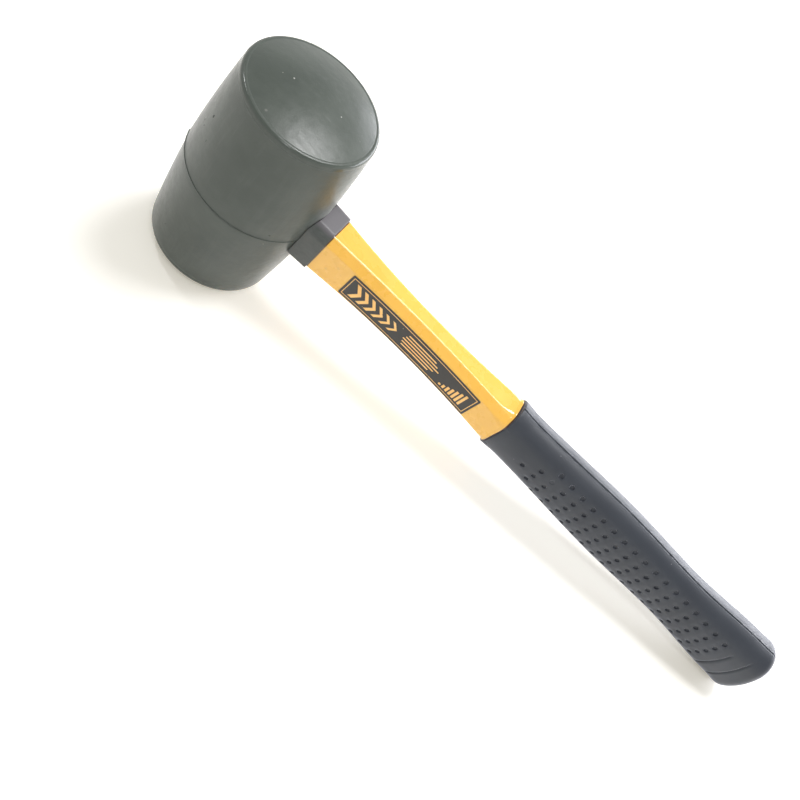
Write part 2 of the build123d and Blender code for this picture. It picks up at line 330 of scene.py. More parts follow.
def tube(rings, closed_ends=True, left_out=()):
    """Vertices and faces of a skin over rings with the same number of points each."""
    n = len(rings[0])
    faces = []
    for i in range(len(rings) - 1):
        for j in range(n):
            if (i, j) not in left_out:
                k = (j + 1) % n
                faces.append((i * n + j, i * n + k, (i + 1) * n + k, (i + 1) * n + j))
    if closed_ends:
        faces += [tuple(range(n))[::-1], tuple(range((len(rings) - 1) * n, len(rings) * n))]
    return [p for ring in rings for p in ring], faces


def placed(x, y, z):
    """A point of the mallet, in millimetres, as it lies on the floor."""
    return LAID_DOWN @ Vector((x, y, z))


def smooth(mesh, sharp_angle):
    """Shades a mesh smooth, with edges sharper than the angle in degrees kept crisp."""
    mesh.shade_smooth()
    mesh.set_sharp_from_angle(angle=radians(sharp_angle))


def in_scene(name, data):
    made = bpy.data.objects.new(name, data)
    bpy.context.scene.collection.objects.link(made)
    return made


def new_piece(name, points, faces, sharp_angle=40):
    """A mesh object from points in millimetres, with its normals outside. Points that fall
    together, as where two rounded edges run into one, become one point."""
    mesh = bpy.data.meshes.new(name)
    mesh.from_pydata([placed(*p) for p in points], [], faces)
    cleaned = bmesh.new()
    cleaned.from_mesh(mesh)
    bmesh.ops.remove_doubles(cleaned, verts=cleaned.verts, dist=1e-7)
    bmesh.ops.recalc_face_normals(cleaned, faces=cleaned.faces)
    cleaned.to_mesh(mesh)
    cleaned.free()
    smooth(mesh, sharp_angle)
    return in_scene(name, mesh)


def nick(azimuth, z, radius, length):
    """A small pit in the barrel, long in the head's axis, as rings of a pointed spindle."""
    x, y = barrel_radius(z) * cos(radians(azimuth)), barrel_radius(z) * sin(radians(azimuth))
    rings = []
    for i in range(7):
        share = i / 6 * 2 - 1
        r = radius * sqrt(max(1 - share * share, 0.02))
        height = z + share * length / 2
        rings.append([(x + r * cos(a * pi / 5), y + r * sin(a * pi / 5), height) for a in range(10)])
    return tube(rings)


def cut(piece, cutter):
    """Takes the cutter's shape out of the piece for good."""
    taken = piece.modifiers.new("cut", "BOOLEAN")
    taken.operation, taken.object, taken.solver = "DIFFERENCE", cutter, "EXACT"
    bpy.context.view_layer.update()
    shape = bpy.data.meshes.new_from_object(piece.evaluated_get(bpy.context.evaluated_depsgraph_get()))
    piece.modifiers.clear()
    old, piece.data = piece.data, shape
    bpy.data.meshes.remove(old)
    bpy.data.objects.remove(cutter)


def head_mesh():
    """The two halves, with the fin of flash and the groove between them."""
    lower = half_head(BARREL_RADIUS - PARTING_STEP)[::-1]
    profile = half_head(BARREL_RADIUS)[:-1] + PARTING_LINE + [(r, -z) for r, z in lower[1:]]
    points, faces = [(0.0, 0.0, RIM_HEIGHT + CROWN_HEIGHT)], []
    for r, z in profile[:-1]:
        for j in range(HEAD_SEGMENTS):
            a = 2 * pi * j / HEAD_SEGMENTS
            way = Vector((cos(a), sin(a), 0))
            sunk = 0.0
            if r > BARREL_RADIUS:
                near_collar = way.x > 0 and abs(r * way.y) < FLASH_CLEAR
                ragged = FLASH_RAGGEDNESS * (1 + noise.noise(way * FLASH_TEETH))
                sunk = r - BARREL_RADIUS if near_collar else ragged
            elif r < BARREL_RADIUS:
                uneven = noise.noise(Vector((r * way.x, r * way.y, z)) / HEAD_DIP_SPAN)
                sunk = HEAD_DIP * (uneven + 1) / 2
            points.append((way.x * (r - sunk), way.y * (r - sunk), z))
    points.append((0.0, 0.0, -RIM_HEIGHT - CROWN_HEIGHT))
    last = len(points) - 1
    foot = last - HEAD_SEGMENTS
    for j in range(HEAD_SEGMENTS):
        k = (j + 1) % HEAD_SEGMENTS
        faces.append((0, 1 + j, 1 + k))
        for a in range(1, foot, HEAD_SEGMENTS):
            faces.append((a + j, a + HEAD_SEGMENTS + j, a + HEAD_SEGMENTS + k, a + k))
        faces.append((foot + j, last, foot + k))
    return points, faces


head = new_piece("rubber_head_shape", *head_mesh(), sharp_angle=HEAD_SHARP)
eye_rings = [eye_ring(EYE_FROM, TONGUE_TIP, FLARE_SPREAD), eye_ring(FLARE_INNER, TONGUE_TIP, EYE_GAP),
             eye_ring(EYE_TO, TONGUE_ROOT, EYE_GAP)]
cut(head, new_piece("eye_cutter", *tube(eye_rings)))
for mark in NICKS:
    cut(head, new_piece("nick_cutter", *nick(*mark)))
smooth(head.data, HEAD_SHARP)


UPRIGHT = Vector((sin(LEAN), 0, cos(LEAN)))
HEAD_BLACK = ((0.051, 0.061, 0.052), (0.078, 0.090, 0.077))
HEAD_SCUFFED = (0.150, 0.160, 0.148)
HEAD_DUST = (0.26, 0.26, 0.23)
PALE_SPECK = (0.42, 0.42, 0.39)
PALE_SPECKS = ((-9.0, -4.0, 48.4, 0.36), (10.5, 0.0, 48.3, 0.30), (12.0, 26.8, 9.0, 0.4))
FAINT_SPECK = (0.13, 0.135, 0.12)
FAINT_SPECKS = ((-6.6, -22.2, 45.7, 0.6), (-12.0, -26.0, 33.0, 0.4), (-22.0, -18.0, -14.0, 0.5),
                (-18.0, 23.0, -20.0, 0.5), (14.0, -24.6, 22.0, 0.4))
SCUFF_STRENGTH = 0.08
WIPED_STRENGTH = 0.07
POLISHED = 0.16
POLISH_BELOW_RIM = 0.65


def drawn_out(tree, place, given, along, **look):
    """Noise with a Width, but a Length in the direction along, both in millimetres."""
    scales = dict.fromkeys("XYZ", scale_of(tree, given["Width"]))
    scales[along] = scale_of(tree, given["Length"])
    stretch = node(tree, "ShaderNodeCombineXYZ", **scales)
    drawn = node(tree, "ShaderNodeVectorMath", {"operation": "MULTIPLY"}, i0=place, i1=stretch.outputs[0])
    return noisy(tree, drawn.outputs[0], 1.0, **look)


def scuff_nodes(tree, given):
    """Short fine scratches drawn out along the head's axis: 1 on a scratch, 0 elsewhere."""
    turned = node(tree, "ShaderNodeVectorRotate", {"rotation_type": "Y_AXIS"}, Vector=here(tree),
                  Angle=-LEAN)
    lines = drawn_out(tree, turned.outputs[0], given, "Z", Detail=2.0)
    return ranged(tree, lines, 0.0, 1.0, given["Rarity"], maths(tree, "ADD", given["Rarity"], 0.09))


def wiped_nodes(tree, given):
    """Streaks from 0 to 1 that run along the handle's direction, as a wiping hand leaves them."""
    lines = drawn_out(tree, here(tree), given, "X", Detail=3.0, Distortion=0.6)
    return ranged(tree, lines, 0.0, 1.0, start=0.36, stop=0.64)


def spot_nodes(tree, given):
    """One small mark at a place: 1 in its middle, fading to 0 at its size in millimetres."""
    gap = node(tree, "ShaderNodeVectorMath", {"operation": "DISTANCE"}, i0=here(tree), i1=given["Place"])
    reach = maths(tree, "DIVIDE", given["Size"], MM_PER_M)
    return ranged(tree, gap.outputs["Value"], 1.0, 0.0, maths(tree, "MULTIPLY", reach, 0.5), reach)


def band_nodes(tree, given):
    """A stripe round a piece: 1 within Size millimetres of a plane, fading to 0 over Fade."""
    gap = node(tree, "ShaderNodeVectorMath", {"operation": "SUBTRACT"}, i0=here(tree), i1=given["Middle"])
    off = node(tree, "ShaderNodeVectorMath", {"operation": "DOT_PRODUCT"}, i0=gap.outputs[0],
               i1=given["Axis"])
    away = maths(tree, "MULTIPLY", maths(tree, "ABSOLUTE", off.outputs["Value"]), MM_PER_M)
    return ranged(tree, away, 1.0, 0.0, given["Size"], maths(tree, "ADD", given["Size"], given["Fade"]))


SCUFFS = group("scuffs", scuff_nodes, Width=0.5, Length=14.0, Rarity=0.62)
WIPED = group("wiped", wiped_nodes, Width=1.0, Length=9.0)
SPOT = group("spot", spot_nodes, Size=0.5, Place=(0.0, 0.0, 0.0))
BAND = group("band", band_nodes, Size=1.0, Fade=0.5, Middle=(0.0, 0.0, 0.0), Axis=(0.0, 0.0, 0.0))


def marked(tree, colour, marks, mark_colour):
    """Adds small round marks (x, y, z and size in millimetres) to a colour."""
    for x, y, z, size in marks:
        colour = blend(tree, effect(tree, SPOT, Size=size, Place=placed(x, y, z)), colour, mark_colour)
    return colour


def head_rubber():
    material, tree, surface = new_material("head_rubber", IOR=1.43, Sheen_Weight=0.20, Sheen_Roughness=0.30)
    colour = blend(tree, effect(tree, MOTTLE, Size=24.0, Contrast=1.8), *HEAD_BLACK)
    rubbed = effect(tree, MOTTLE, Size=34.0, Contrast=3.0)
    scuffs = maths(tree, "MULTIPLY", effect(tree, SCUFFS, Width=2.2, Length=30.0, Rarity=0.54), rubbed)
    colour = blend(tree, maths(tree, "MULTIPLY", scuffs, SCUFF_STRENGTH), colour, HEAD_SCUFFED)
    colour = blend(tree, effect(tree, SPECKS, Spacing=5.5, Size=0.18, Share=0.25), colour, HEAD_DUST)
    colour = marked(tree, colour, PALE_SPECKS, PALE_SPECK)
    colour = marked(tree, colour, FAINT_SPECKS, FAINT_SPECK)
    patches = effect(tree, MOTTLE, Size=7.0, Contrast=2.4)
    wiping = effect(tree, WIPED, Width=1.3, Length=9.0)
    rough = maths(tree, "MULTIPLY_ADD", wiping, WIPED_STRENGTH, ranged(tree, patches, 0.29, 0.34))
    for height in (RIM_HEIGHT - POLISH_BELOW_RIM, POLISH_BELOW_RIM - RIM_HEIGHT):
        rim = effect(tree, BAND, Size=1.0, Fade=0.3, Middle=placed(0, 0, height), Axis=UPRIGHT)
        rough = between(tree, rim, rough, POLISHED)
    fill(surface, Base_Color=colour, Roughness=rough)
    grained(tree, surface, depth=0.22, strength=0.5, Size=0.6, Ripple=4.5, Ripple_Share=0.80)
    return material


head.data.materials.append(head_rubber())
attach(head, "root")
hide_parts("rubber_head")


# Eye resin: poured round the tongue where the eye flares, and set hard, which locks the head on.
# Its face is glossy and a little uneven, as it set.

POURED_RESIN = ((0.42, 0.27, 0.07), (0.62, 0.46, 0.18))


def poured_resin():
    material, tree, surface = new_material("poured_resin", Coat_Weight=0.4)
    clouds = effect(tree, MOTTLE, Size=4.0, Contrast=2.0)
    fill(surface, Base_Color=blend(tree, clouds, *POURED_RESIN), Roughness=ranged(tree, clouds, 0.12, 0.3))
    grained(tree, surface, depth=0.15, strength=0.6, Size=1.2, Ripple=4.0, Ripple_Share=0.7)
    return material


repaint("eye_resin", poured_resin())


# Collar: a thin octagonal band of softer rubber, moulded onto the head round the handle's neck.
# Its edges are soft, and a ragged crease is left where it meets the barrel.

NECK_CHAMFER = 3.3
NECK_EDGE = 1.0
SHOULDER = (38.0, 9.15, 11.1)
BOND_GAP = 0.1
COLLAR_END = 36.8
COLLAR_COVER = 1.05
COLLAR_TAPER = 0.25
COLLAR_CHAMFER = 3.9
COLLAR_EDGE = 2.0
COLLAR_CREASE = 0.10
CREASE_RAG = 0.28
CREASE_RAG_SPAN = 2.3
COLLAR_LIFT = 0.5
COLLAR_LIFT_AT = (10.4, 12.3)
COLLAR_FRONT_ROUNDING = 0.25
COLLAR_BACK_ROUNDING = 0.5
ARC_STEPS = 5
EDGE_LOOP = 0.3
COLLAR_BLACK = ((0.046, 0.053, 0.046), (0.080, 0.086, 0.081))
COLLAR_WIPED = (0.098, 0.104, 0.100)
# Painted light: the lighter colour given to the collar's top, as the lamp overhead would light it.
COLLAR_TOP_PAINTED_LIGHT = (0.112, 0.106, 0.113)


def soft_octagon(half_width, half_height, corner, rounding):
    """Outline (y, z) of an octagon with rounded edges, which is a rounded bar when corner is small.
    A point close to each end of every arc keeps the flats flat."""
    reach = rounding * tan(pi / 8)
    arcs = ((half_width - rounding, half_height - corner - reach),
            (half_width - corner - reach, half_height - rounding))
    side, top = [[(cy + rounding * cos(a), cz + rounding * sin(a))
                  for a in (pi / 4 * (i + k / ARC_STEPS) for k in range(ARC_STEPS + 1))]
                 for i, (cy, cz) in enumerate(arcs)]
    (y1, z1), (y2, z2) = side[-1], top[0]
    step = min(EDGE_LOOP, hypot(y2 - y1, z2 - z1) / 3) / sqrt(2)
    y, z = side[0]
    quarter = [(y, z - min(EDGE_LOOP, z / 2)), *side, (y1 - step, z1 + step), (y2 + step, z2 - step), *top]
    y, z = top[-1]
    quarter.append((y - min(EDGE_LOOP, y / 2), z))
    half = quarter + [(-y, z) for y, z in quarter[::-1]]
    return half + [(y, -z) for y, z in half[::-1]]


def on_barrel(y, z):
    """How far out along the handle the barrel's surface lies at a point (y, z)."""
    return sqrt(barrel_radius(z) ** 2 - y * y)


def collar_mesh():
    inner = soft_octagon(SHOULDER[1] + BOND_GAP, SHOULDER[2] + BOND_GAP, NECK_CHAMFER, NECK_EDGE)

    def around(inset, taper=0.0):
        size = COLLAR_COVER + taper - inset
        return soft_octagon(SHOULDER[1] + size, SHOULDER[2] + size, COLLAR_CHAMFER, COLLAR_EDGE - inset)

    rings = [[(on_barrel(y, z) + COLLAR_CREASE, y, z) for y, z in inner]]
    for turn in (0, 25, 50, 72, 90):
        sink = COLLAR_BACK_ROUNDING * (1 - sin(radians(turn)))
        forward = COLLAR_BACK_ROUNDING * (1 - cos(radians(turn)))
        ring = []
        for y, z in around(sink, COLLAR_TAPER):
            rag = CREASE_RAG * noise.noise(Vector((y / CREASE_RAG_SPAN, z / CREASE_RAG_SPAN, 1.7)))
            rag = max(rag * (1 - turn / 90), -0.08)
            lift = 0.0
            if y * z > 0:
                lift = min(abs(y) / COLLAR_LIFT_AT[0], 1) ** 5 * min(abs(z) / COLLAR_LIFT_AT[1], 1) ** 5
            ring.append((on_barrel(y, z) + COLLAR_CREASE + COLLAR_LIFT * lift + forward + rag, y, z))
        rings.append(ring)
    back, end = rings[-1], COLLAR_END - COLLAR_FRONT_ROUNDING
    for share in (0.45, 0.9):
        outline = around(0.0, COLLAR_TAPER * (1 - share))
        rings.append([(p[0] + (end - p[0]) * share, y, z) for p, (y, z) in zip(back, outline)])
    for turn in (0, 30, 60, 90):
        sink = COLLAR_FRONT_ROUNDING * (1 - cos(radians(turn)))
        rings.append(section(COLLAR_END - COLLAR_FRONT_ROUNDING * (1 - sin(radians(turn))), around(sink)))
    rings.append(section(COLLAR_END, inner))
    points, faces = tube(rings, closed_ends=False)
    n, last = len(inner), (len(rings) - 1) * len(inner)
    return points, faces + [(last + j, last + (j + 1) % n, (j + 1) % n, j) for j in range(n)]


def collar_rubber():
    material, tree, surface = new_material("collar_rubber")
    clouds = effect(tree, MOTTLE, Size=6.0, Contrast=1.9)
    wiping = effect(tree, WIPED, Width=1.6, Length=5.0)
    colour = blend(tree, clouds, *COLLAR_BLACK)
    colour = blend(tree, maths(tree, "MULTIPLY", wiping, 0.35), colour, COLLAR_WIPED)
    # Painted light: a band round the collar's top is made lighter, standing in for the overhead lamp's light
    # on it.
    top = effect(tree, BAND, Size=1.4, Fade=1.0, Middle=placed(COLLAR_END, 0, 13.0), Axis=UPRIGHT)
    fill(surface, Base_Color=blend(tree, top, colour, COLLAR_TOP_PAINTED_LIGHT), Roughness=ranged(tree, clouds, 0.36, 0.50))
    grained(tree, surface, depth=0.16, strength=0.5, Size=0.6, Ripple=3.0, Ripple_Share=0.75)
    return material


collar = new_piece("neck_collar_shape", *collar_mesh(), sharp_angle=45)
collar.data.materials.append(collar_rubber())
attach(collar, "root")
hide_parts("neck_collar")


# Jacket: one glossy yellow-orange plastic moulding over the rod. Its tongue fills the eye, its
# neck is octagonal and draws in to a waist, then rounds out to meet the grip with a fine bead.

SLEEVE_START = 138.2
HANDLE_REACH = 302.3
SLEEVE_STATIONS = ((0.0, 10.6, 13.9), (8.0, 10.1, 13.4), (69.0, 10.6, 15.6), (109.0, 10.3, 14.7),
                   (152.0, 11.5, 17.1), (164.1, 12.3, 17.8))
TIP_BEVEL = ((0.0, 0.35), (0.1, 0.1), (0.35, 0.0))
NECK_FROM = 30.15
NECK_TO = SLEEVE_START - 2.0
NECK_PITCH = 2.6
WAIST = (88.1, 6.8, 10.2)
THROAT = (138.2, 9.3, 10.5)
THROAT_ROUNDING_FROM = 126.0
THROAT_MOUTH = (9.75, 11.9, 5.4, 6.2)
BEAD_HEIGHT = 0.32
BEAD_REACH = 0.8
BEAD_STATIONS = (1.7, 1.5, 1.3, 1.1, 0.95, 0.8, 0.65, 0.5, 0.4, 0.32)
ROD_END = 282.4
SIDE_COVER = 2.1
TOP_COVER = 2.4
SHANK_CHAMFER = 5.2
SHANK_EDGE = 0.7
SHANK_BEVEL = 2.0
SHANK_STEPS = 19
BUTT_WALL = 8.0
LIP_OVERLAP = 2.0


def sleeve_size(x):
    """Half width and half height of the grip's oval, eased from each station to the next."""
    behind = max(x - SLEEVE_START, 0.0)
    for (x1, w1, h1), (x2, w2, h2) in zip(SLEEVE_STATIONS, SLEEVE_STATIONS[1:]):
        if behind <= x2:
            share = (behind - x1) / (x2 - x1)
            eased = share * share * (3 - 2 * share)
            return w1 + (w2 - w1) * eased, h1 + (h2 - h1) * eased
    return SLEEVE_STATIONS[-1][1:]


def neck_size(x):
    """Half width and half height of the neck, which draws in to its waist as a parabola."""
    end = SHOULDER if x < WAIST[0] else THROAT
    share = min((x - WAIST[0]) / (end[0] - WAIST[0]), 1.0) ** 2
    return WAIST[1] + (end[1] - WAIST[1]) * share, WAIST[2] + (end[2] - WAIST[2]) * share


def neck_outline(x):
    """The neck's section: an octagon that rounds out to an oval just before the grip's lip."""
    share = max(0.0, (x - THROAT_ROUNDING_FROM) / (SLEEVE_START - THROAT_ROUNDING_FROM)) ** 2.2
    octagon = (*neck_size(x), NECK_CHAMFER, NECK_EDGE)
    width, height, corner, rounding = [a + (b - a) * share for a, b in zip(octagon, THROAT_MOUTH)]
    bead = BEAD_HEIGHT * max(0.0, 1 - abs(x - SLEEVE_START + BEAD_REACH) / BEAD_REACH) ** 0.6
    return soft_octagon(width + bead, height + bead, corner, rounding)


def jacket_mesh():
    """From the rod's bore over the tongue, neck and throat to the shank's bevelled end."""
    corner = TONGUE_CORNER * (1 - tan(pi / 8))
    tip = [(ROD_START + along, soft_octagon(TONGUE_TIP[0] - d, TONGUE_TIP[1] - d, corner, TONGUE_CORNER - d))
           for along, d in TIP_BEVEL]
    bore = [(y * (ROD_RADIUS + BOND_GAP) / hypot(y, z), z * (ROD_RADIUS + BOND_GAP) / hypot(y, z))
            for y, z in tip[0][1]]
    share = (NECK_FROM - ROD_START) / (EYE_TO - ROD_START)
    root = [a + (b - a) * share for a, b in zip(TONGUE_TIP, TONGUE_ROOT)]
    rings = [(ROD_END, bore), (ROD_START, bore), *tip]
    rings.append((NECK_FROM, soft_octagon(*root, corner, TONGUE_CORNER)))
    steps = round((NECK_TO - NECK_FROM) / NECK_PITCH)
    stations = [NECK_FROM + (NECK_TO - NECK_FROM) * i / steps for i in range(steps + 1)]
    rings += [(x, neck_outline(x)) for x in stations + [SLEEVE_START - d for d in BEAD_STATIONS]]
    throat = soft_octagon(*THROAT[1:], NECK_CHAMFER, SHANK_EDGE)
    rings += [(SLEEVE_START - 0.30, throat), (SLEEVE_START + LIP_OVERLAP, throat)]
    end = HANDLE_REACH - BUTT_WALL
    for i in range(SHANK_STEPS + 1):
        x = SLEEVE_START + LIP_OVERLAP + (end - SHANK_BEVEL - SLEEVE_START - LIP_OVERLAP) * i / SHANK_STEPS
        w, h = sleeve_size(x)
        rings.append((x, soft_octagon(w - SIDE_COVER, h - TOP_COVER, SHANK_CHAMFER, SHANK_EDGE)))
    w, h = w - SIDE_COVER - SHANK_BEVEL, h - TOP_COVER - SHANK_BEVEL
    rings.append((end, soft_octagon(w, h, SHANK_CHAMFER, SHANK_EDGE)))
    return tube([section(x, outline) for x, outline in rings])


JACKET_YELLOW = ((0.85, 0.465, 0.066), (0.90, 0.508, 0.084))
JACKET_STREAK = (0.80, 0.34, 0.06)
JACKET_DUST = (0.50, 0.28, 0.10)
SMUDGE = (0.52, 0.34, 0.14)
SMUDGES = ((46.5, -9.1, 3.2, 1.2), (49.0, -8.9, 1.0, 0.9), (43.0, -9.2, -1.5, 1.0),
           (112.0, -6.9, 8.0, 0.5), (96.0, -3.0, 10.3, 0.4))
# Painted shade: the dark brown colour and the places of thin bands where the jacket meets the collar and the
# grip's lip.
JOINT_PAINTED_SHADE = (0.09, 0.035, 0.015)
JOINT_SHADE_LINES = ((COLLAR_END, 0.3), (SLEEVE_START, 0.45))


def jacket_plastic():
    material, tree, surface = new_material("jacket_plastic", IOR=1.5, Coat_Roughness=0.08, Coat_Weight=0.6)
    colour = blend(tree, effect(tree, MOTTLE, Size=18.0, Contrast=1.5), *JACKET_YELLOW)
    streaks = effect(tree, SCUFFS, Width=3.0, Length=1.0, Rarity=0.55)
    colour = blend(tree, maths(tree, "MULTIPLY", streaks, 0.07), colour, JACKET_STREAK)
    colour = blend(tree, effect(tree, SPECKS, Spacing=6.0, Size=0.16, Share=0.35), colour, JACKET_DUST)
    haze = maths(tree, "MULTIPLY", effect(tree, MOTTLE, Size=1.6, Contrast=2.5), 0.45)
    colour = blend(tree, haze, colour, marked(tree, colour, SMUDGES, SMUDGE))
    # Painted shade: thin dark bands across the jacket at the collar's edge and at the grip's lip, where shade
    # falls in the joints.
    for x, size in JOINT_SHADE_LINES:
        line = effect(tree, BAND, Size=size, Fade=0.25, Middle=placed(x, 0, 0), Axis=along_handle)
        colour = blend(tree, line, colour, JOINT_PAINTED_SHADE)
    patches = effect(tree, MOTTLE, Size=6.0, Contrast=2.0)
    fill(surface, Base_Color=colour, Roughness=ranged(tree, patches, 0.22, 0.34))
    grained(tree, surface, depth=0.06, strength=0.5, Size=0.8, Ripple=7.0, Ripple_Share=0.85)
    return material


jacket = new_piece("handle_jacket_shape", *jacket_mesh(), sharp_angle=35)
jacket.data.materials.append(jacket_plastic())
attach(jacket, "root")
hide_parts("handle_jacket")


# Grip sleeve: soft rubber moulded over the shank and round the butt. Rows of round dimples and two
# upright grooves on each side give hold, and the mould halves left a raised line on top and a
# fainter one along the foot.

OVAL_FULLNESS = 0.93
LIP_ROUNDING = 0.5
CELL_LENGTH = 6.65
CELL_HEIGHT = 4.7
CELL_STEPS = 6
DIMPLES_FROM = 152.475
DIMPLE_COLUMNS = 19
DIMPLE_ROWS = 5
DIMPLE_DEPTH = 0.75
DIMPLE_RINGS = ((1.34, 0.0), (1.16, 0.10), (1.05, 0.38), (0.98, 0.80), (0.80, 0.97), (0.42, 1.0))
UNEVEN_DEPTH = 0.08
UNEVEN_SIZE = 0.03
SHALLOW_DIMPLE = (2, 3, -1)
SHALLOW_SHARE = 0.35
GROOVES = ((282.3, -12.0, 9.0), (290.2, -12.0, 12.0))
GROOVE_DEPTH = 0.5
GROOVE_HALF_WIDTH = 0.42
GROOVE_FLAT = 0.55
GROOVE_SLOPE = 1.35
GROOVE_EDGE = 1.9
GROOVE_ENDS = (0.9, 1.6)
SEAM_HEIGHT = 0.24
SEAM_TOP = 0.28
SEAM_FOOT = 0.12
SEAM_LINES = (-1.5, -1.0, -0.75, -0.6, -0.45, -0.32, -0.12, 0.12, 0.32, 0.45, 0.6, 0.75, 1.0, 1.5)
SEAM_RISE = (0.0, 0.0, -0.5, -0.6, -0.1, 0.85, 1.0, 1.0, 0.85, 0.15, 0.0, 0.0, 0.0, 0.0)
SEAM_NUBS = (163.0, 168.5, 229.0, 238.0, 248.0, 262.0, 269.0)
NUB_HEIGHT = 0.2
NUB_REACH = 1.1
END_STEPS = 8
BUTT_RIM_RADIUS = 5.5
BUTT_RIM_STEPS = 9
BUTT_CROWN_RADIUS = 150.0
BUTT_FACE_TILT = radians(4.6)
BUTT_FROM = 291.6
BUTT_FACE_RINGS = (0.93, 0.84, 0.73, 0.61, 0.48, 0.35, 0.22, 0.1)


def oval_side(x, z):
    """Half width of the sleeve at height z, and its outward direction (y, z) there."""
    w, h = sleeve_size(x)
    end = OVAL_FULLNESS * w
    side = (w * w + h * h - 2 * h * end) / (2 * (w - end))
    join = side * (h - end) / hypot(side - w, h - end)
    if abs(z) <= join:
        y = (w - side) + sqrt(side * side - z * z)
        return y, ((y - w + side) / side, z / side)
    past = abs(z) - (h - end)
    y = sqrt(max(end * end - past * past, 0.0))
    return y, (y / end, (past if z > 0 else -past) / end)


def oval_top(x, y):
    """Half height of the sleeve at distance y from its middle, and its outward direction there."""
    w, h = sleeve_size(x)
    end = OVAL_FULLNESS * w
    z = (h - end) + sqrt(end * end - y * y)
    return z, (y / end, (z - h + end) / end)


def sleeve_ring(x):
    """Points and outward directions round the sleeve: near side, top, far side, foot."""
    row_top = CELL_HEIGHT * DIMPLE_ROWS / 2
    rows = DIMPLE_ROWS * CELL_STEPS
    ring = []
    for side, upward in ((-1, 1), (1, -1)):
        for i in range(rows + 1):
            z = upward * (2 * i / rows - 1) * row_top
            y, (ny, nz) = oval_side(x, z)
            ring.append(((side * y, z), (side * ny, nz), 0.0))
        w, h = sleeve_size(x)
        end = OVAL_FULLNESS * w
        outer = acos((row_top - (h - end)) / end)
        inner = asin(SEAM_LINES[-1] / end)
        turns = [outer + (inner - outer) * i / END_STEPS for i in range(1, END_STEPS)]
        arc = [-end * sin(a) for a in turns] + list(SEAM_LINES) + [end * sin(a) for a in turns[::-1]]
        rises = [0.0] * (END_STEPS - 1) + list(SEAM_RISE) + [0.0] * (END_STEPS - 1)
        for y, rise in zip(arc, rises):
            z, (ny, nz) = oval_top(x, y)
            ring.append(((-side * y, upward * z), (-side * ny, upward * nz), rise))
    return ring


def outward(x, way):
    """Full outward direction (x, y, z) of the flaring wall at x, given its direction in the ring."""
    (w1, h1), (w2, h2) = sleeve_size(x - 0.5), sleeve_size(x + 0.5)
    slope = (w2 - w1) * abs(way[0]) + (h2 - h1) * abs(way[1])
    return Vector((-slope, way[0], way[1])).normalized()


def seam_height(x, upper):
    """The mould line's height varies along it, and torn flash left a few nubs on top."""
    height = SEAM_HEIGHT * (0.75 + 0.6 * noise.noise(Vector((x / 3.0, 3.1 if upper else 8.7, 0.4))))
    if not upper:
        return min(height, SEAM_FOOT)
    nub = max(1 - abs(x - middle) / NUB_REACH for middle in SEAM_NUBS)
    return min(height + max(nub, 0.0) * NUB_HEIGHT, SEAM_TOP)


def groove_depth(x, y, z):
    """How far the two upright grooves sink the sleeve at a point: deepest along the middle, and
    running out at both ends."""
    for middle, low, high in GROOVES:
        off = abs(x - middle) / GROOVE_HALF_WIDTH
        if off < GROOVE_EDGE and abs(y) > 2:
            across = 1.0 if off < GROOVE_FLAT else ((GROOVE_EDGE - off) / GROOVE_SLOPE) ** 1.6
            ends = min(1.0, max(0.0, (z - low) / GROOVE_ENDS[0]), max(0.0, (high - z) / GROOVE_ENDS[1]))
            return GROOVE_DEPTH * across * ends
    return 0.0


def sleeve_point(x, spot, inset=0.0):
    (y, z), way, rise = spot
    lift = (seam_height(x, z > 0) * rise if rise else 0.0) - groove_depth(x, y, z) - inset
    push = outward(x, way)
    return (x + push.x * lift, y + push.y * lift, z + push.z * lift)


def wall_lines():
    """Stations along the sleeve from the lip to where the butt begins, and the first dimple line."""
    lines = [SLEEVE_START + LIP_ROUNDING + d for d in (0.0, 0.35, 0.9, 1.8, 2.9, 4.1, 5.3, 6.5, 7.7, 8.9)]
    lines += [DIMPLES_FROM - 3.2, DIMPLES_FROM - 2.1, DIMPLES_FROM - 1.05]
    first = len(lines)
    lines += [DIMPLES_FROM + CELL_LENGTH * i / CELL_STEPS for i in range(DIMPLE_COLUMNS * CELL_STEPS + 1)]
    lines += [lines[-1] + 1.0, lines[-1] + 1.9]
    for middle, _, _ in GROOVES:
        if middle > GROOVES[0][0]:
            lines += [GROOVES[0][0] + d for d in (1.9, 3.1, 4.3, 5.5, 6.6)]
        lines += [middle + d * GROOVE_HALF_WIDTH for d in (-1.9, -1.4, -0.95, -0.5, 0.0, 0.5, 0.95, 1.4, 1.9)]
    return lines, first


def dimple_at(column, row):
    """The columns of dimples start as a point: one dimple, then three, then five."""
    return abs(row - DIMPLE_ROWS // 2) <= min(column, DIMPLE_ROWS // 2)


